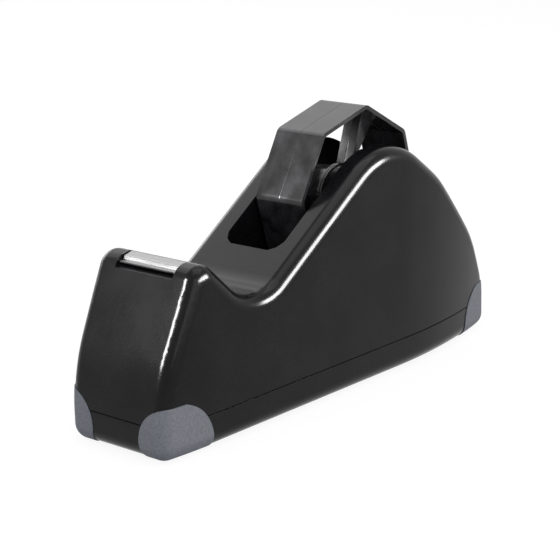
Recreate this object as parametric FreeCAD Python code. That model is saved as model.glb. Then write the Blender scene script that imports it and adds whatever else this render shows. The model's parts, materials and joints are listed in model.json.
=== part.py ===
"""Weighted desk tape dispenser for rolls on a 76 mm core, as an assembly of separate pieces.

Frame: millimetres, +Z up, origin on the desk under the middle of the base. The cutting end
points to -X, the high rear to +X, and the tape wheel turns about an axis along Y.
"""
import FreeCAD, Part
import math
import os

V = FreeCAD.Vector

# ---- case: overall form ------------------------------------------------------------------------
FRONT_REACH = 133.0       # axle to the foot of the front
REAR_REACH = 83.0         # axle to the foot of the rear
HALF_WIDTH = 26.7         # half the width of the case, up to where it closes in
SEAM_Z = 13.9             # seam between the top cover and the base tray
SEAM_GAP = 0.35           # shadow line at that seam
EDGE_RADIUS = 6.0         # rounding of all the edges of the case
WALL = 3.0                # moulded wall of the cover and the tray
BUMPER_PROUD = 0.35       # how far the rubber corners stand out, and lift the tray off the desk

AXLE_Z = 74.5
LENGTH = FRONT_REACH + REAR_REACH
FRONT_X = -LENGTH / 2
REAR_X = LENGTH / 2
AXLE_X = FRONT_X + FRONT_REACH
FOOT_LIFT = BUMPER_PROUD
FLOOR_Z = FOOT_LIFT + WALL
MARGIN = 20.0             # overshoot of cutting tools past what they cut

FRONT_SLOPE = 24.8        # degrees that the upper front leans back
FRONT_KNEE_Z = 26.7       # height at which the front would start to lean
FRONT_BEND = 72.0         # radius of that bend
NOSE_RADIUS = 7.6
DIP_SLOPE = 43.3          # degrees down from the nose into the dip
CLIMB_SLOPE = 34.0        # degrees up from the dip to the crest
DIP_INSET = 52.7          # unrounded dip, behind the front and below the axle
DIP_DROP = 27.0
DIP_RADIUS = 21.0
CREST_SETBACK = 3.0       # unrounded crest, behind the axle
CREST_RADIUS = 36.0
BACK_KNEE_INSET = 43.0    # bend of the back, ahead of the rear and above the axle
BACK_KNEE_RISE = 3.3
BACK_BEND = 62.0
TAIL_KNEE_INSET = 12.0    # bend of the tail, ahead of the rear and below the axle
TAIL_KNEE_DROP = 29.0
TAIL_BEND = 62.0
HEEL_Z = 22.4             # unrounded heel, where the tail would meet the upright rear
HEEL_BEND = 30.0

TAPER_SETBACK = 10.0      # where the sides start to close in, behind the axle
TAPER_BEND = 250.0        # radius at which they do
FRONT_TAPER = 31.0        # and how far behind the front they start to close in again
TAPER_X = AXLE_X + TAPER_SETBACK
FRONT_TAPER_X = FRONT_X + FRONT_TAPER

# ---- tape wheel, axle and the well they sit in -------------------------------------------------
AXLE_RADIUS = 2.5
AXLE_BORE_PLAY = 0.06     # radial play of the wheel on its axle
AXLE_GROOVE_PLAY = 0.3    # play of the axle in its grooves
AXLE_END_PLAY = 0.4
GROOVE_DEPTH = 2.0
CORE_DIAMETER = 76.2      # bore of the tape core that the wheel fills
WHEEL_SIDES = 8
WHEEL_TURN = 37.9         # degrees from +X to the first corner
WHEEL_WIDTH = 24.0
WHEEL_WALL = 1.7
WHEEL_CORNER = 4.0
WHEEL_PLAY = 0.2          # room left between the wheel's corners and the core
WEB_THICKNESS = 2.0
WINDOW_COUNT = 3
WINDOW_SWEEP = 100.0      # degrees of each window in the web
WINDOW_START = 71.5       # degrees to the first window's rear edge
RIB_WIDTH = 8.0
RIB_WALL = 1.2
BARREL_ROOT = 12.3        # radius of the barrel at the web
BARREL_TIP = 10.7         # and at its ends
BARREL_WALL = 2.0
HUB_RADIUS = 4.8          # tube round the axle

WELL_HALF_WIDTH = 14.8
WELL_CORNER = 7.0         # rounding of the well's rims, made of so many bevels
WELL_BEVELS = 3
WELL_WALL = 2.2
TAPE_THICKNESS = 19.4     # room for wound tape outside the core
BARREL_PLAY = 0.6         # room between each end of the barrel and the well's side
WELL_RADIUS = CORE_DIAMETER / 2 + TAPE_THICKNESS
BARREL_LENGTH = 2 * (WELL_HALF_WIDTH - BARREL_PLAY)
GROOVE_PAD = 10.0         # width of the pad that carries each axle groove
GROOVE_BACKING = 1.6      # wall left behind each groove

# ---- cutter ------------------------------------------------------------------------------------
SEAT_SETBACK = 0.6        # front edge of the tape rest, behind and below the unrounded nose
SEAT_SINK = 6.8
SEAT_TILT = 12.0          # degrees that the rest falls towards the front
SEAT_HALF_WIDTH = 15.1
SEAT_STEP = 2.2           # drop of the nose in front of that edge
BLADE_MARGIN = 0.7        # room between each end of the blade and its cheek
BLADE_WIDTH = 2 * (SEAT_HALF_WIDTH - BLADE_MARGIN)
BLADE_STEEL = 0.6
BLADE_FLAT = 3.8          # flat on which the tape end rests
BLADE_DROP = 1.7          # length of the bend down and its slope
BLADE_DROP_SLOPE = 50.0
BLADE_LIP = 2.4           # length of the toothed lip and its rise above level
BLADE_LIP_RISE = 4.0
BLADE_TANG = 2.6          # turned-down rear edge, pressed into the nose
BLADE_PLAY = 0.12
TOOTH_PITCH = 1.0
TOOTH_DEPTH = 0.6

# ---- corner bumpers ----------------------------------------------------------------------------
BUMPER_RADIUS = 18.0      # of its outline, seen from the side
BUMPER_CENTRE_Z = 4.0
BUMPER_FACE_RADIUS = 14.0  # and seen from the front
BUMPER_FACE_Z = 7.4
BUMPER_REACH_FRONT = 25.0  # reach of a front bumper along the side
BUMPER_REACH_REAR = 22.5   # and of a rear one
BUMPER_REACH_ACROSS = 12.4
BUMPER_SKIN = 1.6         # depth that a bumper is let into the case
BUMPER_GAP = 0.15

# ---- screws and ballast ------------------------------------------------------------------------
BOSS_RADIUS = 3.6
STANDOFF_RADIUS = 4.8
FRONT_SCREW_INSET = 14.0  # from the front of the case
FRONT_SCREW_Y = 13.3
REAR_SCREW_INSET = 15.5   # from the rear of the case
REAR_SCREW_Y = 8.0
SCREW_SHANK = 1.45
SCREW_LENGTH = 14.0
SCREW_HEAD_RADIUS = 2.8
SCREW_HEAD_HEIGHT = 1.9
SCREW_RECESS = 2.2        # depth of each head's place under the tray, below the head
SCREW_PLAY = 0.05
SCREW_CLEARANCE = 0.25
SCREW_FLOOR = 2.2         # tray material under each screw head's seat
SCREW_SEAT_Z = FOOT_LIFT + SCREW_RECESS + SCREW_HEAD_HEIGHT
STANDOFF_Z = SCREW_SEAT_Z + SCREW_FLOOR
FRONT_SCREW_X = FRONT_X + FRONT_SCREW_INSET
REAR_SCREW_X = REAR_X - REAR_SCREW_INSET

BALLAST_GAP = 1.2         # room left round the ballast
BALLAST_ROUND = 3.0
BALLAST_FOOT = 1.0        # rounding round its foot
RIB_HEIGHT = 4.0
RIB_THICK = 1.5
RIB_PLAY = 0.2
SIDE_ROOM = 8.2           # from the front ballast to the case's side
FRONT_BALLAST_TOP = 39.5
FRONT_BALLAST_REACH = 50.0
SPLIT_SETBACK = 15.0      # rib between the two weights, behind the axle
REAR_BALLAST_HALF = 13.0
REAR_BALLAST_TOP = 37.0
HOLD_DOWN_HALF = 10.0     # half the width of the cover's ribs over the ballast
TONGUE_HEIGHT = 2.6
TONGUE_PLAY = 0.2

FRONT_BALLAST_HALF = HALF_WIDTH - SIDE_ROOM
FRONT_BALLAST_START = FRONT_SCREW_X + STANDOFF_RADIUS + BALLAST_GAP
FRONT_BALLAST_STEP = FRONT_BALLAST_START + FRONT_BALLAST_REACH
BALLAST_SPLIT_X = AXLE_X + SPLIT_SETBACK
REAR_BALLAST_START = BALLAST_SPLIT_X + RIB_THICK / 2 + RIB_PLAY
REAR_BALLAST_END = REAR_SCREW_X - STANDOFF_RADIUS - BALLAST_GAP


# ---- helpers -----------------------------------------------------------------------------------
def unit(angle):
    """Unit step in the drawing plane at an angle in degrees."""
    return math.cos(math.radians(angle)), math.sin(math.radians(angle))


def meet(p, angle_p, q, angle_q):
    """Point where two lines, each a point and an angle, cross."""
    (px, py), (qx, qy) = p, q
    (ax, ay), (bx, by) = unit(angle_p), unit(angle_q)
    step = ((qx - px) * by - (qy - py) * bx) / (ax * by - ay * bx)
    return px + ax * step, py + ay * step


def inset_corners(corners, inset):
    """Corners (x, y, radius) of a counter-clockwise outline moved inwards by inset."""
    moved = []
    count = len(corners)
    for i, (x, y, radius) in enumerate(corners):
        x0, y0, _ = corners[i - 1]
        x1, y1, _ = corners[(i + 1) % count]
        before = math.atan2(y - y0, x - x0)
        after = math.atan2(y1 - y, x1 - x)
        turn = (after - before + math.pi) % (2 * math.pi) - math.pi
        middle = before + turn / 2 + math.pi / 2
        reach = inset / math.cos(turn / 2)
        side = 1 if turn > 0 else -1
        moved.append((x + reach * math.cos(middle), y + reach * math.sin(middle),
                      max(radius - side * inset, 0.3) if radius else 0))
    return moved


def outline(corners, place):
    """Closed wire through rounded corners; place turns (x, y) into a point."""
    stops = []
    count = len(corners)
    for i, (x, y, radius) in enumerate(corners):
        x0, y0, _ = corners[i - 1]
        x1, y1, _ = corners[(i + 1) % count]
        before = math.atan2(y - y0, x - x0)
        after = math.atan2(y1 - y, x1 - x)
        turn = (after - before + math.pi) % (2 * math.pi) - math.pi
        back = abs(radius * math.tan(turn / 2))
        belly = radius * (1 / math.cos(turn / 2) - 1)
        inward = before + turn / 2 + (math.pi / 2 if turn > 0 else -math.pi / 2)
        stops.append((place(x - back * math.cos(before), y - back * math.sin(before)),
                      place(x + belly * math.cos(inward), y + belly * math.sin(inward)),
                      place(x + back * math.cos(after), y + back * math.sin(after)), radius > 0))
    edges = []
    for i, (start, middle, end, is_round) in enumerate(stops):
        last_end = stops[i - 1][2]
        if last_end.distanceToPoint(start) > 1e-6:
            edges.append(Part.makeLine(last_end, start))
        if is_round:
            edges.append(Part.Arc(start, middle, end).toShape())
    return Part.Wire(edges)


def on_side(x, z):
    """Place a drawing of the side view on the middle plane."""
    return V(x, 0, z)


def extrude_both_ways(wire, half):
    """Solid of a side-view wire, half to each side of the middle plane."""
    face = Part.Face(wire)
    face.translate(V(0, -half, 0))
    return face.extrude(V(0, 2 * half, 0))


def box(x0, x1, y0, y1, z0, z1):
    """Box between its low and high corners."""
    return Part.makeBox(x1 - x0, y1 - y0, z1 - z0, V(x0, y0, z0))


def cross_cylinder(radius, half, x=AXLE_X, z=AXLE_Z):
    """Cylinder along Y, centred on the middle plane, about the axle unless placed."""
    return Part.makeCylinder(radius, 2 * half, V(x, -half, z), V(0, 1, 0))


def post(radius, x, y, z0, z1):
    """Upright cylinder."""
    return Part.makeCylinder(radius, z1 - z0, V(x, y, z0))


def slab(z0, z1):
    """Slab between two levels, larger than the case in plan."""
    return box(-LENGTH, LENGTH, -2 * HALF_WIDTH, 2 * HALF_WIDTH, z0, z1)


def above(shape, z):
    """Part of a shape above a level."""
    return shape.common(slab(z, z + LENGTH))


def below(shape, z):
    """Part of a shape below a level."""
    return shape.common(slab(z - LENGTH, z))


# ---- case form ---------------------------------------------------------------------------------
def dip_corner():
    """Unrounded bottom of the dip."""
    return FRONT_X + DIP_INSET, AXLE_Z - DIP_DROP


def nose_corner():
    """Unrounded tip of the nose, where the front meets the slope down into the dip."""
    return meet((FRONT_X, FRONT_KNEE_Z), 90 - FRONT_SLOPE, dip_corner(), 180 - DIP_SLOPE)


def side_corners():
    """Rounded corners of the side view, counter-clockwise seen from the near side (-Y)."""
    crest = meet(dip_corner(), CLIMB_SLOPE, (AXLE_X + CREST_SETBACK, 0), 90)
    return [(FRONT_X, FOOT_LIFT, 0), (REAR_X, FOOT_LIFT, 0), (REAR_X, HEEL_Z, HEEL_BEND),
            (REAR_X - TAIL_KNEE_INSET, AXLE_Z - TAIL_KNEE_DROP, TAIL_BEND),
            (REAR_X - BACK_KNEE_INSET, AXLE_Z + BACK_KNEE_RISE, BACK_BEND), (*crest, CREST_RADIUS),
            (*dip_corner(), DIP_RADIUS), (*nose_corner(), NOSE_RADIUS), (FRONT_X, FRONT_KNEE_Z, FRONT_BEND)]


def plan_form(inset):
    """Upright form of the plan, straight in the middle and closing in towards both ends."""
    low, high = -MARGIN, AXLE_Z + LENGTH
    half = HALF_WIDTH - inset
    form = box(FRONT_TAPER_X, TAPER_X, -half, half, low, high)
    for start, end in ((FRONT_TAPER_X, FRONT_X - MARGIN), (TAPER_X, REAR_X + MARGIN)):
        closing = box(min(start, end), max(start, end), -half, half, low, high)
        for side in (-1, 1):
            centre = V(start, side * (HALF_WIDTH - TAPER_BEND), low)
            closing = closing.common(Part.makeCylinder(TAPER_BEND - inset, high - low, centre))
        form = form.fuse(closing)
    return form


def half_width_at(x):
    """Half the width of the case, before its corners are rounded."""
    run = max(x - TAPER_X, FRONT_TAPER_X - x, 0)
    return HALF_WIDTH - TAPER_BEND + math.sqrt(TAPER_BEND ** 2 - run ** 2)


def body_form(inset, is_seen):
    """Whole case form, every surface moved in by inset; edges are round where seen, else bevelled."""
    sides = extrude_both_ways(outline(inset_corners(side_corners(), inset), on_side), 2 * HALF_WIDTH)
    form = sides.common(plan_form(inset))
    floor = FOOT_LIFT + inset
    rims = [edge for edge in form.Edges
            if edge.BoundBox.YMax * edge.BoundBox.YMin > 0 or edge.BoundBox.ZMax < floor + WALL]
    size = EDGE_RADIUS - inset
    return form.makeFillet(size, rims) if is_seen else form.makeChamfer(size * (2 - math.sqrt(2)), rims)


# ---- pieces of the case ------------------------------------------------------------------------
def well_drum():
    """Drum about the axle that clears a full roll of tape, its rims eased by a row of bevels."""
    middle_r, middle_y = WELL_RADIUS - WELL_CORNER, WELL_HALF_WIDTH - WELL_CORNER
    reach = WELL_CORNER / math.cos(math.radians(45 / WELL_BEVELS))
    steps = [unit((i + 0.5) * 90 / WELL_BEVELS) for i in range(WELL_BEVELS)]
    rim = [(WELL_RADIUS, middle_y)] + [(middle_r + reach * c, middle_y + reach * s) for c, s in steps]
    rim += [(middle_r, WELL_HALF_WIDTH), (0, WELL_HALF_WIDTH)]
    section = [V(r, y, 0) for r, y in rim] + [V(r, -y, 0) for r, y in reversed(rim)]
    drum = Part.Face(Part.makePolygon(section + section[:1])).revolve(V(0, 0, 0), V(0, 1, 0), 360)
    drum.translate(V(AXLE_X, 0, AXLE_Z))
    return drum


def well_shell():
    """Outside of the well's wall."""
    drum = cross_cylinder(WELL_RADIUS + WELL_WALL, WELL_HALF_WIDTH + WELL_WALL)
    rims = [edge for edge in drum.Edges if edge.Curve.TypeId == "Part::GeomCircle"]
    return drum.makeChamfer(WELL_CORNER * (2 - math.sqrt(2)), rims)


def corner_places():
    """Name, corner (x, y) and reach along the side of each of the four bumpers."""
    front_y, rear_y = half_width_at(FRONT_X), half_width_at(REAR_X)
    return [("front_left", FRONT_X, -front_y, BUMPER_REACH_FRONT),
            ("front_right", FRONT_X, front_y, BUMPER_REACH_FRONT),
            ("rear_left", REAR_X, -rear_y, BUMPER_REACH_REAR),
            ("rear_right", REAR_X, rear_y, BUMPER_REACH_REAR)]


def corner_blob(x, y, reach, grow):
    """Volume that cuts one bumper's outline, round in both views, out of the case's corner."""
    mid_x = x - math.copysign(1, x) * (reach - BUMPER_RADIUS)
    mid_y = y - math.copysign(1, y) * (BUMPER_REACH_ACROSS - BUMPER_FACE_RADIUS)
    from_side = cross_cylinder(BUMPER_RADIUS + grow, LENGTH, mid_x, BUMPER_CENTRE_Z)
    from_front = Part.makeCylinder(BUMPER_FACE_RADIUS + grow, 2 * LENGTH,
                                   V(-LENGTH, mid_y, BUMPER_FACE_Z), V(1, 0, 0))
    return from_side.common(from_front)


def corner_bumper(forms, x, y, reach):
    """One rubber corner, let into the case and a little proud of it all over."""
    return forms["proud"].cut(forms["skin"]).common(corner_blob(x, y, reach, 0))


def bumper_pockets(forms):
    """Room for the four bumpers, to cut from the cover and the tray."""
    return [corner_blob(x, y, reach, BUMPER_GAP).cut(forms["pocket"]) for _, x, y, reach in corner_places()]


def screw_places():
    """Plan place of each of the four case screws."""
    return [(x, side * y) for x, y in ((FRONT_SCREW_X, FRONT_SCREW_Y), (REAR_SCREW_X, REAR_SCREW_Y))
            for side in (-1, 1)]


def seat_frame(shape):
    """Turn a shape drawn from the rest's front edge into its place on the nose."""
    shape.rotate(V(0, 0, 0), V(0, 1, 0), -SEAT_TILT)
    nose_x, nose_z = nose_corner()
    shape.translate(V(nose_x + SEAT_SETBACK, 0, nose_z - SEAT_SINK))
    return shape


def nose_cut():
    """Room over the tape rest between the two cheeks, and the step in front of it."""
    half = SEAT_HALF_WIDTH
    over = seat_frame(box(-MARGIN, MARGIN, -half, half, 0, MARGIN))
    step = seat_frame(box(-MARGIN, 0, -half, half, -SEAT_STEP, MARGIN))
    return over.fuse(step)


def tang_slot():
    """Slot in the tape rest that the blade's turned-down edge is pressed into."""
    half = BLADE_WIDTH / 2 + BLADE_PLAY
    return seat_frame(box(BLADE_FLAT - BLADE_PLAY, BLADE_FLAT + BLADE_STEEL + BLADE_PLAY, -half, half,
                          -BLADE_TANG - BLADE_PLAY, MARGIN))


def axle_groove(side, radius, depth):
    """Upright groove, round at its foot, in one side of the well."""
    inner = WELL_HALF_WIDTH - WELL_WALL
    foot = Part.makeCylinder(radius, WELL_WALL + depth, V(AXLE_X, side * inner, AXLE_Z), V(0, side, 0))
    outer = side * (WELL_HALF_WIDTH + depth)
    rise = box(AXLE_X - radius, AXLE_X + radius, min(side * inner, outer), max(side * inner, outer),
               AXLE_Z, AXLE_Z + WELL_RADIUS)
    return foot.fuse(rise)


def top_cover(forms):
    """Moulded top cover: shell, well for the roll, screw bosses, hold-down ribs, tape rest."""
    upper = above(forms["outer"], SEAM_Z + SEAM_GAP / 2)
    cover = upper.cut(forms["inner"])
    rebate = below(forms["rebate"], SEAM_Z + TONGUE_HEIGHT + TONGUE_PLAY)
    cover = cover.cut(rebate)
    inside = [well_shell()]
    for side in (-1, 1):
        y0 = side * WELL_HALF_WIDTH
        y1 = side * (WELL_HALF_WIDTH + GROOVE_DEPTH + GROOVE_BACKING)
        inside.append(box(AXLE_X - GROOVE_PAD / 2, AXLE_X + GROOVE_PAD / 2, min(y0, y1), max(y0, y1),
                          AXLE_Z - GROOVE_PAD / 2, AXLE_Z + WELL_RADIUS))
    for x, y in screw_places():
        inside.append(post(BOSS_RADIUS, x, y, STANDOFF_Z, AXLE_Z))
    for x, top in (((FRONT_BALLAST_START + FRONT_BALLAST_STEP) / 2, FRONT_BALLAST_TOP),
                   (REAR_BALLAST_END - BOSS_RADIUS, REAR_BALLAST_TOP)):
        inside.append(box(x - RIB_THICK / 2, x + RIB_THICK / 2, -HOLD_DOWN_HALF, HOLD_DOWN_HALF,
                          top + RIB_PLAY, AXLE_Z))
    cover = cover.fuse([piece.common(forms["tongue"]) for piece in inside])
    cuts = [well_drum(), nose_cut(), tang_slot()] + bumper_pockets(forms)
    cuts += [axle_groove(side, AXLE_RADIUS + AXLE_GROOVE_PLAY, GROOVE_DEPTH) for side in (-1, 1)]
    pilot_top = SCREW_SEAT_Z + SCREW_LENGTH + 2 * SCREW_SHANK
    cuts += [post(SCREW_SHANK + SCREW_PLAY, x, y, 0, pilot_top) for x, y in screw_places()]
    return cover.cut(cuts)


def base_tray(forms):
    """Moulded base: floor and low wall with a tongue into the cover, standoffs, ballast ribs."""
    tray = below(forms["outer"], SEAM_Z - SEAM_GAP / 2)
    tongue = below(forms["tongue"], SEAM_Z + TONGUE_HEIGHT)
    tray = tray.fuse(above(tongue, FLOOR_Z)).cut(forms["inner"])
    ribs = [post(STANDOFF_RADIUS, x, y, FLOOR_Z - WALL / 2, STANDOFF_Z) for x, y in screw_places()]
    sunk, top = FLOOR_Z - WALL / 2, FLOOR_Z + RIB_HEIGHT
    clear = RIB_PLAY + RIB_THICK / 2
    for middle, half in ((FRONT_BALLAST_START - clear, FRONT_BALLAST_HALF),
                         (BALLAST_SPLIT_X, FRONT_BALLAST_HALF),
                         (REAR_BALLAST_END + clear, REAR_SCREW_Y - STANDOFF_RADIUS / 2)):
        ribs.append(box(middle - RIB_THICK / 2, middle + RIB_THICK / 2, -half, half, sunk, top))
    for middle in (-FRONT_BALLAST_HALF - clear, FRONT_BALLAST_HALF + clear):
        ribs.append(box(FRONT_BALLAST_START, BALLAST_SPLIT_X, middle - RIB_THICK / 2,
                        middle + RIB_THICK / 2, sunk, top))
    tray = tray.fuse(ribs)
    cuts = bumper_pockets(forms)
    for x, y in screw_places():
        cuts.append(post(SCREW_SHANK + SCREW_CLEARANCE, x, y, 0, SEAM_Z))
        cuts.append(post(SCREW_HEAD_RADIUS + SCREW_CLEARANCE, x, y, 0, SCREW_SEAT_Z))
    return tray.cut(cuts)


def case_screws():
    """Four pan-head screws, driven up through the tray's standoffs into the cover's bosses."""
    screws = []
    for x, y in screw_places():
        head = post(SCREW_HEAD_RADIUS, x, y, SCREW_SEAT_Z - SCREW_HEAD_HEIGHT, SCREW_SEAT_Z)
        screws.append(head.fuse(post(SCREW_SHANK, x, y, SCREW_SEAT_Z, SCREW_SEAT_Z + SCREW_LENGTH)))
    return Part.makeCompound(screws)


def clear_of_well(corners, half):
    """Ballast block from its side view, hollowed to follow the well."""
    block = extrude_both_ways(outline(corners, on_side), half)
    return block.cut(cross_cylinder(WELL_RADIUS + WELL_WALL + BALLAST_GAP, half + MARGIN))


def front_ballast():
    """Cast weight under the dip, with a low tail that runs on beneath the well."""
    tail_x = BALLAST_SPLIT_X - RIB_THICK / 2 - RIB_PLAY
    tail_z = AXLE_Z - WELL_RADIUS - WELL_WALL - BALLAST_GAP
    corners = [(FRONT_BALLAST_START, FLOOR_Z, BALLAST_FOOT), (tail_x, FLOOR_Z, BALLAST_FOOT),
               (tail_x, tail_z, BALLAST_FOOT),
               (FRONT_BALLAST_STEP, tail_z, BALLAST_ROUND),
               (FRONT_BALLAST_STEP, FRONT_BALLAST_TOP, BALLAST_ROUND),
               (FRONT_BALLAST_START, FRONT_BALLAST_TOP, BALLAST_ROUND)]
    return clear_of_well(corners, FRONT_BALLAST_HALF)


def rear_ballast():
    """Cast weight behind the well, hollowed to follow it."""
    x0, x1 = REAR_BALLAST_START, REAR_BALLAST_END
    corners = [(x0, FLOOR_Z, BALLAST_FOOT), (x1, FLOOR_Z, BALLAST_FOOT),
               (x1, REAR_BALLAST_TOP, BALLAST_ROUND), (x0, REAR_BALLAST_TOP, BALLAST_ROUND)]
    return clear_of_well(corners, REAR_BALLAST_HALF)


# ---- cutter ------------------------------------------------------------------------------------
def strip_outline(points, thickness, bend):
    """Closed wire of a bent strip: points along its underside, its thickness to the right."""
    under, over = [], []
    last = len(points) - 1
    for i, (x, z) in enumerate(points):
        x0, z0 = points[max(i - 1, 0)]
        x1, z1 = points[min(i + 1, last)]
        before = math.atan2(z - z0, x - x0) if i > 0 else math.atan2(z1 - z, x1 - x)
        after = math.atan2(z1 - z, x1 - x) if i < last else before
        turn = (after - before + math.pi) % (2 * math.pi) - math.pi
        middle = before + turn / 2 - math.pi / 2
        reach = thickness / math.cos(turn / 2)
        inner, outer = (bend, bend + thickness) if turn > 0 else (bend + thickness, bend)
        is_end = i in (0, last)
        under.append((x, z, 0 if is_end else inner))
        over.append((x + reach * math.cos(middle), z + reach * math.sin(middle), 0 if is_end else outer))
    return outline(under + over[::-1], on_side)


def cutter_blade():
    """Stamped steel blade: turned-down rear edge, flat, bend, and a toothed lip."""
    drop_x, drop_z = unit(180 + BLADE_DROP_SLOPE)
    lip_x, lip_z = unit(180 - BLADE_LIP_RISE)
    knee = (BLADE_DROP * drop_x, BLADE_DROP * drop_z)
    tip = (knee[0] + BLADE_LIP * lip_x, knee[1] + BLADE_LIP * lip_z)
    path = [(BLADE_FLAT, -BLADE_TANG), (BLADE_FLAT, 0), (0, 0), knee, tip]
    blade = extrude_both_ways(strip_outline(path, BLADE_STEEL, BLADE_STEEL / 2), BLADE_WIDTH / 2)
    count = int(BLADE_WIDTH / TOOTH_PITCH)
    start = -count * TOOTH_PITCH / 2
    edge = [V(tip[0] - MARGIN, start, tip[1] - MARGIN / 4)]
    for i in range(count):
        edge.append(V(tip[0], start + i * TOOTH_PITCH, tip[1] - MARGIN / 4))
        edge.append(V(tip[0] + TOOTH_DEPTH, start + (i + 0.5) * TOOTH_PITCH, tip[1] - MARGIN / 4))
    edge += [V(tip[0], -start, tip[1] - MARGIN / 4), V(tip[0] - MARGIN, -start, tip[1] - MARGIN / 4)]
    teeth = Part.Face(Part.makePolygon(edge + edge[:1])).extrude(V(0, 0, MARGIN / 2))
    return seat_frame(blade.cut(teeth))


# ---- tape wheel and axle -----------------------------------------------------------------------
def rim_corners():
    """Rounded corners of the tape wheel's rim about the axle."""
    round_off = WHEEL_CORNER * (1 / math.cos(math.pi / WHEEL_SIDES) - 1)
    radius = CORE_DIAMETER / 2 - WHEEL_PLAY + round_off
    steps = [unit(WHEEL_TURN + i * 360 / WHEEL_SIDES) for i in range(WHEEL_SIDES)]
    return [(AXLE_X + radius * c, AXLE_Z + radius * s, WHEEL_CORNER) for c, s in steps]


def rim_prism(inset, half):
    """Prism of the rim's outline moved in by inset."""
    return extrude_both_ways(outline(inset_corners(rim_corners(), inset), on_side), half)


def web_window(index):
    """One window through the web, from a rib on round."""
    start = WINDOW_START + index * 360 / WINDOW_COUNT
    far = CORE_DIAMETER
    rays = [unit(start + WINDOW_SWEEP * share) for share in (0, 0.25, 0.5, 0.75, 1)]
    fan = [V(AXLE_X + far * c, 0, AXLE_Z + far * s) for c, s in rays]
    wire = Part.makePolygon([V(AXLE_X, 0, AXLE_Z), *fan, V(AXLE_X, 0, AXLE_Z)])
    wedge = extrude_both_ways(wire, WEB_THICKNESS)
    wedge = wedge.common(rim_prism(WHEEL_WALL + RIB_WALL / 2, WEB_THICKNESS))
    return wedge.cut(cross_cylinder(BARREL_ROOT + RIB_WALL / 2, WEB_THICKNESS))


def web_rib(angle):
    """Rib along a window's first edge, from the barrel to the rim."""
    rib = box(BARREL_TIP, CORE_DIAMETER / 2, -RIB_WIDTH / 2, RIB_WIDTH / 2, -RIB_WALL, 0)
    rib.rotate(V(0, 0, 0), V(0, 1, 0), -angle)
    rib.translate(V(AXLE_X, 0, AXLE_Z))
    return rib


def barrel():
    """Tapered barrel round the axle tube, hollow from both ends."""
    half, deep = BARREL_LENGTH / 2, WEB_THICKNESS / 2
    section = [V(0, -half, 0), V(BARREL_TIP, -half, 0), V(BARREL_ROOT, 0, 0), V(BARREL_TIP, half, 0),
               V(0, half, 0), V(0, -half, 0)]
    solid = Part.Face(Part.makePolygon(section)).revolve(V(0, 0, 0), V(0, 1, 0), 360)
    solid.translate(V(AXLE_X, 0, AXLE_Z))
    ring = cross_cylinder(BARREL_TIP - BARREL_WALL, half + 1).cut(cross_cylinder(HUB_RADIUS, half + 1))
    web = cross_cylinder(BARREL_ROOT, deep)
    return solid.cut(ring.cut(web))


def tape_wheel():
    """Eight-sided wheel that fills the tape core: rim, web with windows and ribs, barrel."""
    half = WHEEL_WIDTH / 2
    rim = rim_prism(0, half).cut(rim_prism(WHEEL_WALL, half + 1))
    web = rim_prism(WHEEL_WALL / 2, WEB_THICKNESS / 2)
    web = web.cut([web_window(i) for i in range(WINDOW_COUNT)])
    ribs = [web_rib(WINDOW_START + i * 360 / WINDOW_COUNT) for i in range(WINDOW_COUNT)]
    inner = rim_prism(WHEEL_WALL / 2, half)
    wheel = rim.fuse([web, barrel()] + [rib.common(inner) for rib in ribs])
    bore = cross_cylinder(AXLE_RADIUS + AXLE_BORE_PLAY, WHEEL_WIDTH)
    return wheel.cut(bore).removeSplitter()


def axle():
    """Steel pin that carries the tape wheel, its ends in the two grooves of the well."""
    half = WELL_HALF_WIDTH + GROOVE_DEPTH - AXLE_END_PLAY
    pin = cross_cylinder(AXLE_RADIUS, half)
    rims = [edge for edge in pin.Edges if edge.Curve.TypeId == "Part::GeomCircle"]
    return pin.makeChamfer(AXLE_RADIUS / 5, rims)


# ---- assembly ----------------------------------------------------------------------------------
def build():
    """Every piece of the dispenser, by name."""
    forms = {"outer": body_form(0, True), "proud": body_form(-BUMPER_PROUD, True),
             "inner": body_form(WALL, False), "skin": body_form(BUMPER_SKIN, False),
             "pocket": body_form(BUMPER_SKIN + BUMPER_GAP, False),
             "rebate": body_form((WALL - TONGUE_PLAY) / 2, False),
             "tongue": body_form((WALL + TONGUE_PLAY) / 2, False)}
    pieces = {"top_cover": top_cover(forms), "base_tray": base_tray(forms), "case_screws": case_screws(),
              "front_ballast": front_ballast(), "rear_ballast": rear_ballast(),
              "cutter_blade": cutter_blade(), "tape_wheel": tape_wheel(), "axle": axle()}
    for name, x, y, reach in corner_places():
        pieces[name + "_bumper"] = corner_bumper(forms, x, y, reach)
    return pieces


os.makedirs("parts", exist_ok=True)
for node, shape in build().items():
    shape.exportStep("parts/" + node + ".step")
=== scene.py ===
"""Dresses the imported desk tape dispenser: moulded case, rubber corners, tape wheel and cutter.

Metres, +Z up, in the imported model's own frame: origin on the desk under the middle of the base,
-X towards the cutter, +X towards the high rear, the tape wheel's axis along Y.
"""

import json
import logging
import math
from dataclasses import dataclass
from enum import Enum
from typing import Any, Dict, Optional, Tuple

import bmesh
import bpy
from mathutils import Matrix, Vector


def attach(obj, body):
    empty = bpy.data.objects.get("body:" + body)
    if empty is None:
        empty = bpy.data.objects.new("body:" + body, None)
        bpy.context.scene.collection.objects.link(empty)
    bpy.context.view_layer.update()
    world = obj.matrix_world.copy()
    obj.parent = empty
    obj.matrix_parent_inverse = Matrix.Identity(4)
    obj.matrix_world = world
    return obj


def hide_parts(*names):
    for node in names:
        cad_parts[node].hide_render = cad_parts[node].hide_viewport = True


Point = Tuple[float, float, float]
Colour = Tuple[float, float, float, float]

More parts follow.
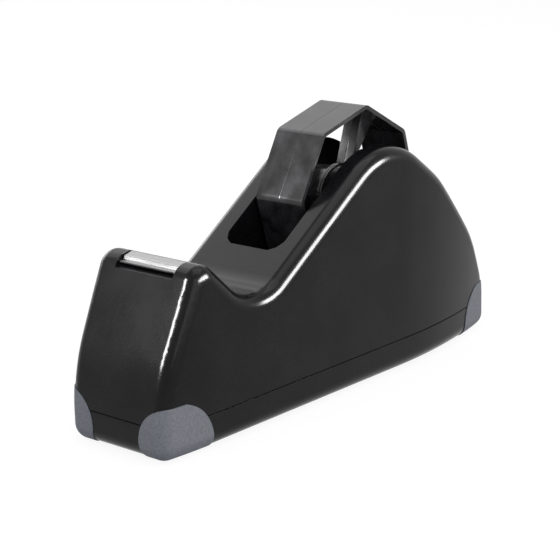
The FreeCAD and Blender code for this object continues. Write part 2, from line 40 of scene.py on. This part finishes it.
log = logging.getLogger("tape_dispenser")
MM = 0.001
WHITE = (1.0, 1.0, 1.0, 1.0)
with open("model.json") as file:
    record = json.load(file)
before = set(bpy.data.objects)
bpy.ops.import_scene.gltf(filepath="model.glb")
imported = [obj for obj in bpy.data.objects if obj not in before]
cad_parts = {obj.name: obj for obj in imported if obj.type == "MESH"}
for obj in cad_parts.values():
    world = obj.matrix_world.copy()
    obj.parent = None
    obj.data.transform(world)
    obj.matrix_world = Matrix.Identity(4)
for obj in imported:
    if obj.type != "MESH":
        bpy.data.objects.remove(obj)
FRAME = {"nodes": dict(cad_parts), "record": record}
BODY_OF = {node: body for body, nodes in FRAME["record"]["behaviour"]["bodies"].items()
           for node in nodes}


# ---- colours and nodes --------------------------------------------------------------------------
def linear(code: str) -> Colour:
    """Turns an sRGB hex colour into linear RGBA.

    Args:
        code: six hex digits.

    Returns:
        Linear red, green, blue and an alpha of 1.
    """
    parts = [int(code[i:i + 2], 16) / 255 for i in (0, 2, 4)]
    red, green, blue = (c / 12.92 if c <= 0.04045 else ((c + 0.055) / 1.055) ** 2.4 for c in parts)
    return red, green, blue, 1.0


def per_metre(size_mm: float) -> float:
    """Gives the texture scale at which one cell of a pattern has a real size in millimetres."""
    return 1.0 / (size_mm * MM)


def new_material(name: str) -> bpy.types.Material:
    """Makes a material whose node tree is still empty.

    Args:
        name: name of the material.

    Returns:
        The new material.
    """
    material = bpy.data.materials.new(name)
    material.use_nodes = True
    material.node_tree.nodes.clear()
    return material


def add_node(tree: bpy.types.NodeTree, kind: str, inputs: Optional[Dict[Any, Any]] = None,
             **settings: Any) -> bpy.types.Node:
    """Adds a node with its settings, and its inputs as values or links.

    Args:
        tree: node tree that gets the node.
        kind: Blender's type name of the node.
        inputs: input name or index to a value or an output socket.
        settings: the node's own settings.

    Returns:
        The new node.
    """
    node = tree.nodes.new(kind)
    for key, value in settings.items():
        setattr(node, key, value)
    for key, value in (inputs or {}).items():
        if isinstance(value, bpy.types.NodeSocket):
            tree.links.new(value, node.inputs[key])
        else:
            node.inputs[key].default_value = value
    return node


# ---- finishes -----------------------------------------------------------------------------------
# Noise keeps to the middle of its range, so each use of it spreads only a part of that range.
TONE_LOW, TONE_HIGH = 0.35, 0.7      # for a tone that changes slowly
SHINE_LOW, SHINE_HIGH = 0.3, 0.7     # for a roughness
CELL_LOW, CELL_HIGH = 0.35, 0.65     # for small cells, which show more strongly
# A Mix node names its sockets alike for every kind of value, so its colours go by number.
MIX_FIRST, MIX_SECOND, MIX_COLOUR = 6, 7, 2


class Grain(Enum):
    """How a moulded surface was finished in its tool: cell size and depth in mm, and speckle."""

    SPARKED = (0.6, 0.002, 0.4)
    POLISHED = (0.4, 0.002, 0.1)


@dataclass(frozen=True)
class MouldedPlastic:
    """Black ABS from a mould: the tool's grain speckles its tone and its soft shine."""

    name: str
    colour: str
    worn: str
    grain: Grain
    roughness: float
    rough_spread: float
    haze_mm: float
    ior: float
    parting_mm: float = 0.0
    parting_height_mm: float = 0.06
    fleck: float = 0.01

    def build(self) -> bpy.types.Material:
        """Builds the material.

        Returns:
            The material, ready to assign.
        """
        material = new_material(self.name)
        tree = material.node_tree
        cell_mm, depth_mm, speckle = self.grain.value
        place = add_node(tree, "ShaderNodeTexCoord").outputs["Object"]
        cells = add_node(tree, "ShaderNodeTexNoise", {
            "Vector": place, "Scale": per_metre(cell_mm), "Detail": 3.0, "Roughness": 0.6})
        haze = add_node(tree, "ShaderNodeTexNoise", {
            "Vector": place, "Scale": per_metre(self.haze_mm), "Detail": 4.0, "Roughness": 0.55})
        tone = add_node(tree, "ShaderNodeMapRange", {
            "Value": haze.outputs[0], "From Min": TONE_LOW, "From Max": TONE_HIGH})
        dots = add_node(tree, "ShaderNodeMapRange", {
            "Value": cells.outputs[0], "From Min": CELL_LOW, "From Max": CELL_HIGH,
            "To Min": -speckle, "To Max": speckle})
        worn = add_node(tree, "ShaderNodeMath", {0: tone.outputs[0], 1: dots.outputs[0]},
                        operation="ADD", use_clamp=True)
        base = add_node(tree, "ShaderNodeMix", {
            "Factor": worn.outputs[0], MIX_FIRST: linear(self.colour),
            MIX_SECOND: linear(self.worn)}, data_type="RGBA")
        shine = add_node(tree, "ShaderNodeMapRange", {
            "Value": haze.outputs[0], "From Min": SHINE_LOW, "From Max": SHINE_HIGH,
            "To Min": self.roughness - self.rough_spread,
            "To Max": self.roughness + self.rough_spread})
        flecks = add_node(tree, "ShaderNodeMapRange", {
            "Value": cells.outputs[0], "From Min": CELL_LOW, "From Max": CELL_HIGH,
            "To Min": -self.fleck, "To Max": self.fleck})
        rough = add_node(tree, "ShaderNodeMath", {0: shine.outputs[0], 1: flecks.outputs[0]},
                         operation="ADD")
        bump = add_node(tree, "ShaderNodeBump", {
            "Strength": 1.0, "Distance": depth_mm * MM, "Height": cells.outputs[0]})
        normal = bump.outputs[0]
        if self.parting_mm:
            normal = self.parting_line(tree, place, normal)
        shader = add_node(tree, "ShaderNodeBsdfPrincipled", {
            "Base Color": base.outputs[MIX_COLOUR], "Roughness": rough.outputs[0],
            "IOR": self.ior, "Normal": normal})
        add_node(tree, "ShaderNodeOutputMaterial", {"Surface": shader.outputs[0]})
        return material

    def parting_line(self, tree: bpy.types.NodeTree, place: bpy.types.NodeSocket,
                     normal: bpy.types.NodeSocket) -> bpy.types.NodeSocket:
        """Adds the low ridge that the mould's two halves leave on the middle plane.

        Args:
            tree: the material's nodes.
            place: object coordinates.
            normal: the surface's normal before the line.

        Returns:
            The normal with the line on it.
        """
        axes = add_node(tree, "ShaderNodeSeparateXYZ", {0: place})
        off = add_node(tree, "ShaderNodeMath", {0: axes.outputs["Y"]}, operation="ABSOLUTE")
        ridge = add_node(tree, "ShaderNodeMapRange", {
            "Value": off.outputs[0], "From Min": 0.0, "From Max": self.parting_mm * MM,
            "To Min": 1.0, "To Max": 0.0}, interpolation_type="SMOOTHSTEP")
        line = add_node(tree, "ShaderNodeBump", {
            "Strength": 1.0, "Distance": self.parting_height_mm * MM,
            "Height": ridge.outputs[0], "Normal": normal})
        return line.outputs[0]


@dataclass(frozen=True)
class RolledSteel:
    """Bare steel that was rolled or turned: bright, with fine lines along one way."""

    name: str
    colour: str
    roughness: float
    line_mm: float
    line_run_mm: float
    along: Point
    line_depth_mm: float = 0.02
    line_strength: float = 0.25
    rough_below: float = 0.06
    rough_above: float = 0.08

    def build(self) -> bpy.types.Material:
        """Builds the material.

        Returns:
            The material, ready to assign.
        """
        material = new_material(self.name)
        tree = material.node_tree
        place = add_node(tree, "ShaderNodeTexCoord").outputs["Object"]
        across, run = per_metre(self.line_mm), per_metre(self.line_run_mm)
        stretch = tuple(run if way else across for way in self.along)
        lay = add_node(tree, "ShaderNodeMapping", {"Vector": place, "Scale": stretch})
        lines = add_node(tree, "ShaderNodeTexNoise", {
            "Vector": lay.outputs[0], "Scale": 1.0, "Detail": 3.0})
        rough = add_node(tree, "ShaderNodeMapRange", {
            "Value": lines.outputs[0], "From Min": SHINE_LOW, "From Max": SHINE_HIGH,
            "To Min": self.roughness - self.rough_below,
            "To Max": self.roughness + self.rough_above})
        bump = add_node(tree, "ShaderNodeBump", {
            "Strength": self.line_strength, "Distance": self.line_depth_mm * MM,
            "Height": lines.outputs[0]})
        shader = add_node(tree, "ShaderNodeBsdfPrincipled", {
            "Base Color": linear(self.colour), "Metallic": 1.0, "Roughness": rough.outputs[0],
            "Normal": bump.outputs[0]})
        add_node(tree, "ShaderNodeOutputMaterial", {"Surface": shader.outputs[0]})
        return material


@dataclass(frozen=True)
class RoughSolid:
    """Rubber or sand-cast iron: dull, with a low uneven surface and a dusty tone in places."""

    name: str
    colour: str
    dusty: str
    metallic: float
    roughness: float
    lump_mm: float
    lump_depth_mm: float
    cloud_mm: float
    ior: float = 1.5

    def build(self) -> bpy.types.Material:
        """Builds the material.

        Returns:
            The material, ready to assign.
        """
        material = new_material(self.name)
        tree = material.node_tree
        place = add_node(tree, "ShaderNodeTexCoord").outputs["Object"]
        lumps = add_node(tree, "ShaderNodeTexNoise", {
            "Vector": place, "Scale": per_metre(self.lump_mm), "Detail": 4.0, "Roughness": 0.6})
        cloud = add_node(tree, "ShaderNodeTexNoise", {
            "Vector": place, "Scale": per_metre(self.cloud_mm), "Detail": 3.0})
        tone = add_node(tree, "ShaderNodeMapRange", {
            "Value": cloud.outputs[0], "From Min": CELL_LOW, "From Max": CELL_HIGH})
        base = add_node(tree, "ShaderNodeMix", {
            "Factor": tone.outputs[0], MIX_FIRST: linear(self.colour),
            MIX_SECOND: linear(self.dusty)}, data_type="RGBA")
        bump = add_node(tree, "ShaderNodeBump", {
            "Strength": 1.0, "Distance": self.lump_depth_mm * MM, "Height": lumps.outputs[0]})
        shader = add_node(tree, "ShaderNodeBsdfPrincipled", {
            "Base Color": base.outputs[MIX_COLOUR], "Metallic": self.metallic,
            "Roughness": self.roughness, "IOR": self.ior, "Normal": bump.outputs[0]})
        add_node(tree, "ShaderNodeOutputMaterial", {"Surface": shader.outputs[0]})
        return material


# Spark-eroded ABS is an even black with a soft shine. Its grain is about 0.1 mm, too fine to
# show, so it is drawn at 0.6 mm and low. The low IOR keeps the sides as dark as the real ones.
CASE_ABS = MouldedPlastic(
    name="spark_textured_black_abs", colour="0c0c0e", worn="18181b", grain=Grain.SPARKED,
    roughness=0.19, rough_spread=0.02, haze_mm=25.0, ior=1.24)
# Polished ABS picks up smears from fingers and tape cores, so its shine is uneven and greyer.
WHEEL_ABS = MouldedPlastic(
    name="polished_black_abs", colour="161618", worn="3c3c40", grain=Grain.POLISHED,
    roughness=0.19, rough_spread=0.07, haze_mm=11.0, ior=1.4, parting_mm=0.35)
# Moulded rubber hardly shines, so it is an even bluish grey with a fine mottle.
CORNER_RUBBER = RoughSolid(
    name="moulded_grey_rubber", colour="676b74", dusty="747881", metallic=0.0, roughness=0.75,
    lump_mm=0.9, lump_depth_mm=0.03, cloud_mm=1.0, ior=1.3)
# Sand-cast iron has a coarse skin, dark grey with brown patches.
BALLAST_IRON = RoughSolid(
    name="sand_cast_iron", colour="39383a", dusty="46403b", metallic=0.6, roughness=0.75,
    lump_mm=1.5, lump_depth_mm=0.15, cloud_mm=12.0)
# Rolled strip shines softly, in streaks that run the blade's length.
BLADE_STEEL = RolledSteel(
    name="bright_rolled_steel", colour="888888", roughness=0.24, line_mm=0.25,
    line_run_mm=12.0, along=(0, 1, 0))
# A turned pin is brighter, with lines drawn out along it by the grinding.
AXLE_STEEL = RolledSteel(
    name="turned_steel", colour="b9babd", roughness=0.3, line_mm=0.2, line_run_mm=6.0,
    along=(0, 1, 0))
# Zinc plating gives screws a pale, even grey that shines dully.
SCREW_STEEL = RolledSteel(
    name="zinc_plated_steel", colour="b4b6b8", roughness=0.36, line_mm=0.5, line_run_mm=1.0,
    along=(0, 0, 1))


# ---- modelling helpers --------------------------------------------------------------------------
MERGE_MM = 0.002          # corners nearer to each other than this are one
FLAT_ANGLE = 0.5          # degrees within which neighbouring triangles are one flat face
STRIP_ANGLE = 6.0         # and within which two of them make one step of a rounding
STRIP_SKEW_ANGLE = 60.0   # degrees by which the corners of such a step may differ
ROLLED_FROM_ANGLE = 40.0  # degrees from which an edge counts as sharp
ROLLED_STEPS = 2          # faces across the rounding of a sharp edge
RIM_SLACK_MM = 0.02       # how far a corner may lie from the height of its rim
WALL_RISE = 0.4           # the normal of a wall rises less than this
RIM_RISE = 0.9            # and that of a rim's top more


def only(piece: bpy.types.Object) -> None:
    """Selects one piece alone and makes it active.

    Args:
        piece: the piece.
    """
    bpy.ops.object.select_all(action="DESELECT")
    piece.select_set(True)
    bpy.context.view_layer.objects.active = piece


def finish_with(piece: bpy.types.Object, kind: str, **settings: Any) -> None:
    """Adds a modifier to the active piece and applies it.

    Args:
        piece: the active piece.
        kind: Blender's type name of the modifier.
        settings: the modifier's own settings.
    """
    modifier = piece.modifiers.new(kind.lower(), kind)
    for key, value in settings.items():
        setattr(modifier, key, value)
    bpy.ops.object.modifier_apply(modifier=modifier.name)


def roll_rim(mesh: bpy.types.Mesh, height: float, width: float) -> None:
    """Rounds the outer edge of a flat rim, in edit mode.

    Args:
        mesh: mesh that is being edited.
        height: height of the rim in metres.
        width: width of the rounding in metres.
    """
    bpy.ops.mesh.select_all(action="DESELECT")
    shape = bmesh.from_edit_mesh(mesh)
    for edge in shape.edges:
        level = all(abs(vert.co.z - height) < RIM_SLACK_MM * MM for vert in edge.verts)
        if level and edge.is_convex and len(edge.link_faces) == 2:
            wall, top = sorted(face.normal.z for face in edge.link_faces)
            edge.select_set(abs(wall) < WALL_RISE and top > RIM_RISE)
    bmesh.update_edit_mesh(mesh)
    bpy.ops.mesh.bevel(offset=width, segments=ROLLED_STEPS, affect="EDGES", clamp_overlap=False)


def smooth_twin(node: str, name: str, angle: float, rolled_mm: float = 0.0,
                rim_height_mm: Optional[float] = None) -> bpy.types.Object:
    """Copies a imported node, joins its loose triangles and shades its curves smooth.

    Args:
        node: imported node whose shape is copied.
        name: name of the new piece, which stands for the node.
        angle: largest angle in degrees that is still shaded smooth.
        rolled_mm: width of the rounding that a mould leaves on sharp edges.
        rim_height_mm: height of a rim whose outer edge alone is rounded, if there is one.

    Returns:
        The new piece, riding on the node's body.
    """
    mesh = FRAME["nodes"][node].data.copy()
    mesh.materials.clear()
    piece = bpy.data.objects.new(name, mesh)
    bpy.context.scene.collection.objects.link(piece)
    only(piece)
    bpy.ops.object.mode_set(mode="EDIT")
    bpy.ops.mesh.select_all(action="SELECT")
    bpy.ops.mesh.remove_doubles(threshold=MERGE_MM * MM)
    bpy.ops.mesh.customdata_custom_splitnormals_clear()
    if rolled_mm:
        bpy.ops.mesh.dissolve_limited(angle_limit=math.radians(FLAT_ANGLE))
    if rim_height_mm is not None:
        roll_rim(mesh, rim_height_mm * MM, rolled_mm * MM)
        bpy.ops.mesh.select_all(action="SELECT")
    bpy.ops.mesh.tris_convert_to_quads(face_threshold=math.radians(STRIP_ANGLE),
                                       shape_threshold=math.radians(STRIP_SKEW_ANGLE))
    bpy.ops.object.mode_set(mode="OBJECT")
    if rolled_mm and rim_height_mm is None:
        finish_with(piece, "BEVEL", width=rolled_mm * MM, segments=ROLLED_STEPS,
                    limit_method="ANGLE", angle_limit=math.radians(ROLLED_FROM_ANGLE),
                    use_clamp_overlap=True)
    bpy.ops.object.shade_smooth_by_angle(angle=math.radians(angle))
    finish_with(piece, "WEIGHTED_NORMAL", keep_sharp=True)
    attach(piece, BODY_OF[node])
    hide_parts(node)
    return piece


def dress(piece: bpy.types.Object, material: bpy.types.Material) -> None:
    """Gives a piece its material and logs which one.

    Args:
        piece: the piece.
        material: its only material.
    """
    piece.data.materials.clear()
    piece.data.materials.append(material)
    log.info("%s: %s", piece.name, material.name)


# ---- sub-assemblies -----------------------------------------------------------------------------
@dataclass
class Case:
    """Top cover and base tray, moulded in spark-textured ABS, with their rubber corners."""

    smooth_angle: float = 32.0
    rolled_mm: float = 0.35
    rim_height_mm: float = 13.725
    corners: Tuple[str, ...] = ("front_left_bumper", "front_right_bumper", "rear_left_bumper",
                                "rear_right_bumper")

    def build(self) -> None:
        """Makes and dresses the shells and the corners."""
        plastic, rubber = CASE_ABS.build(), CORNER_RUBBER.build()
        cover = smooth_twin("top_cover", "cover_shell", self.smooth_angle)
        tray = smooth_twin("base_tray", "tray_shell", self.smooth_angle, self.rolled_mm,
                           self.rim_height_mm)
        for shell in (cover, tray):
            dress(shell, plastic)
        for node in self.corners:
            corner = smooth_twin(node, node.replace("bumper", "corner"), self.smooth_angle)
            dress(corner, rubber)


@dataclass
class TapeWheel:
    """Eight-sided wheel and the steel axle it turns on."""

    smooth_angle: float = 28.0
    rolled_mm: float = 0.35

    def build(self) -> None:
        """Makes and dresses the wheel and its axle."""
        wheel = smooth_twin("tape_wheel", "wheel_body", self.smooth_angle, self.rolled_mm)
        dress(wheel, WHEEL_ABS.build())
        pin = smooth_twin("axle", "axle_pin", self.smooth_angle)
        dress(pin, AXLE_STEEL.build())


@dataclass
class Cutter:
    """Toothed steel blade on the nose."""

    smooth_angle: float = 25.0

    def build(self) -> None:
        """Makes and dresses the blade."""
        blade = smooth_twin("cutter_blade", "toothed_blade", self.smooth_angle)
        dress(blade, BLADE_STEEL.build())


@dataclass
class HiddenHardware:
    """Weights and screws inside the case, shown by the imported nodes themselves."""

    weights: Tuple[str, ...] = ("front_ballast", "rear_ballast")
    screws: Tuple[str, ...] = ("case_screws",)

    def build(self) -> None:
        """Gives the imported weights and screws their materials."""
        for nodes, finish in ((self.weights, BALLAST_IRON), (self.screws, SCREW_STEEL)):
            material = finish.build()
            for node in nodes:
                slots = FRAME["nodes"][node].data.materials
                slots.clear()
                slots.append(material)
                log.info("%s: %s", node, material.name)


# ---- studio -------------------------------------------------------------------------------------
class Reach(Enum):
    """What a lamp is there for."""

    LIGHT = "lights the object"
    GLINT = "shows in its shiny surfaces only"


@dataclass(frozen=True)
class Lamp:
    """One soft box: where it stands, where it points, its sides, its power and what it is for."""

    name: str
    place: Point
    aim: Point
    sides: Tuple[float, float]
    power: float
    reach: Reach


@dataclass
class Studio:
    """White sweep, soft boxes and the camera.

    The camera looks at the target from an azimuth and an elevation in degrees. Its focal length
    is given in pixels of the square frame.
    """

    azimuth: float = -48.57
    elevation: float = 15.58
    roll: float = -1.47
    distance: float = 0.7233
    focal_px: float = 1782.55
    frame_px: float = 560.0
    sensor_mm: float = 36.0
    clip: Tuple[float, float] = (0.02, 50.0)
    target: Point = (-0.01317, 0.0, 0.04568)
    ambient: float = 0.45
    floor_side: float = 40.0
    floor_paper: str = "dcdcdc"
    floor_shade: str = "6b6b6b"
    floor_glow: float = 0.9
    lamps: Tuple[Lamp, ...] = (
        # Low, broad light from above, from the near side and from the far side.
        Lamp("top_box", (0.1, -0.1, 1.1), (0.0, 0.0, 0.05), (0.8, 0.8), 4.0, Reach.LIGHT),
        Lamp("near_box", (-0.6, -1.0, 0.6), (0.0, 0.0, 0.05), (0.7, 0.7), 3.0, Reach.LIGHT),
        Lamp("rear_box", (0.2, 1.3, 0.4), (0.0, 0.0, 0.05), (0.8, 0.6), 5.0, Reach.LIGHT),
        # Highlights down the near front corner and along the near upper edge.
        Lamp("left_glint", (-1.0, 0.4, 0.5), (-0.09, -0.02, 0.05), (0.36, 0.36), 42.0,
             Reach.GLINT),
        Lamp("near_top_glint", (0.285, -0.94, 0.49), (0.0, 0.0, 0.06), (1.1, 0.34), 98.0,
             Reach.GLINT),
        # Soft sheen on the saddle, on the wheel's top and on the blade.
        Lamp("far_top_glint", (0.1, 0.95, 1.05), (0.0, 0.0, 0.06), (1.0, 0.5), 2.8,
             Reach.GLINT),
        Lamp("far_left_glint", (-0.73, 0.83, 0.78), (0.02, 0.0, 0.1), (0.5, 0.4), 0.15,
             Reach.GLINT),
        Lamp("far_right_glint", (0.73, 0.82, 0.8), (0.02, 0.0, 0.1), (0.5, 0.4), 0.4,
             Reach.GLINT),
    )

    def build(self) -> None:
        """Makes the floor, the world, the lamps and the camera."""
        self.sweep()
        self.world()
        for lamp in self.lamps:
            self.soft_box(lamp)
        self.camera()
        bpy.context.scene.view_settings.view_transform = "Standard"

    def sweep(self) -> None:
        """Makes the pale floor, which stays white to the camera and keeps the shadow."""
        bpy.ops.object.select_all(action="DESELECT")
        bpy.ops.mesh.primitive_plane_add(size=self.floor_side, location=(0.0, 0.0, 0.0))
        floor = bpy.context.object
        floor.name = "pale_sweep"
        material = new_material("pale_paper")
        tree = material.node_tree
        paper = add_node(tree, "ShaderNodeBsdfDiffuse", {"Color": linear(self.floor_paper)})
        shade = add_node(tree, "ShaderNodeBsdfDiffuse", {"Color": linear(self.floor_shade)})
        glow = add_node(tree, "ShaderNodeEmission", {
            "Color": WHITE, "Strength": self.floor_glow})
        both = add_node(tree, "ShaderNodeAddShader", {0: shade.outputs[0], 1: glow.outputs[0]})
        seen = self.sees_background(tree)
        mix = add_node(tree, "ShaderNodeMixShader", {
            0: seen.outputs[0], 1: paper.outputs[0], 2: both.outputs[0]})
        add_node(tree, "ShaderNodeOutputMaterial", {"Surface": mix.outputs[0]})
        floor.data.materials.append(material)

    def sees_background(self, tree: bpy.types.NodeTree) -> bpy.types.Node:
        """Adds nodes that mark the rays to which the background is white.

        Args:
            tree: node tree that gets them.

        Returns:
            The last node, 1 for rays of the camera, of shiny surfaces and through clear ones.
        """
        path = add_node(tree, "ShaderNodeLightPath")
        shiny = add_node(tree, "ShaderNodeMath", {
            0: path.outputs["Is Camera Ray"], 1: path.outputs["Is Glossy Ray"]},
            operation="MAXIMUM")
        return add_node(tree, "ShaderNodeMath", {
            0: shiny.outputs[0], 1: path.outputs["Is Transmission Ray"]}, operation="MAXIMUM")

    def world(self) -> None:
        """Makes the surroundings white to camera and shiny surfaces, and dimmer to the rest."""
        world = bpy.data.worlds.new("white_room")
        bpy.context.scene.world = world
        world.use_nodes = True
        tree = world.node_tree
        tree.nodes.clear()
        seen = self.sees_background(tree)
        strength = add_node(tree, "ShaderNodeMapRange", {
            "Value": seen.outputs[0], "To Min": self.ambient, "To Max": 1.0})
        sky = add_node(tree, "ShaderNodeBackground", {
            "Color": WHITE, "Strength": strength.outputs[0]})
        add_node(tree, "ShaderNodeOutputWorld", {"Surface": sky.outputs[0]})

    def soft_box(self, lamp: Lamp) -> None:
        """Adds one rectangular area lamp.

        Args:
            lamp: its place, aim, sides, power and reach.
        """
        data = bpy.data.lights.new(lamp.name, "AREA")
        data.shape, data.energy = "RECTANGLE", lamp.power
        data.size, data.size_y = lamp.sides
        box = bpy.data.objects.new(lamp.name, data)
        box.visible_diffuse = lamp.reach is Reach.LIGHT
        bpy.context.scene.collection.objects.link(box)
        place = Vector(lamp.place)
        box.location = place
        box.rotation_euler = (Vector(lamp.aim) - place).to_track_quat("-Z", "Y").to_euler()

    def camera(self) -> None:
        """Places the camera by its direction, distance and roll."""
        turn, rise, roll = (math.radians(x) for x in (self.azimuth, self.elevation, self.roll))
        back = Vector((math.sin(turn) * math.cos(rise), -math.cos(turn) * math.cos(rise),
                       math.sin(rise)))
        right = Vector((math.cos(turn), math.sin(turn), 0.0))
        up = back.cross(right)
        side = right * math.cos(roll) + up * math.sin(roll)
        top = up * math.cos(roll) - right * math.sin(roll)
        data = bpy.data.cameras.new("studio_camera")
        data.sensor_width = self.sensor_mm
        data.lens = self.focal_px / self.frame_px * self.sensor_mm
        data.clip_start, data.clip_end = self.clip
        camera = bpy.data.objects.new("studio_camera", data)
        bpy.context.scene.collection.objects.link(camera)
        facing = Matrix((side, top, back)).transposed().to_4x4()
        stand = Matrix.Translation(Vector(self.target) + back * self.distance)
        camera.matrix_world = stand @ facing
        bpy.context.scene.camera = camera


def main() -> None:
    """Builds every sub-assembly and the studio."""
    logging.basicConfig(level=logging.INFO, format="%(name)s: %(message)s")
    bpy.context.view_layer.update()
    Case().build()
    TapeWheel().build()
    Cutter().build()
    HiddenHardware().build()
    Studio().build()


if __name__ == "__main__":
    main()
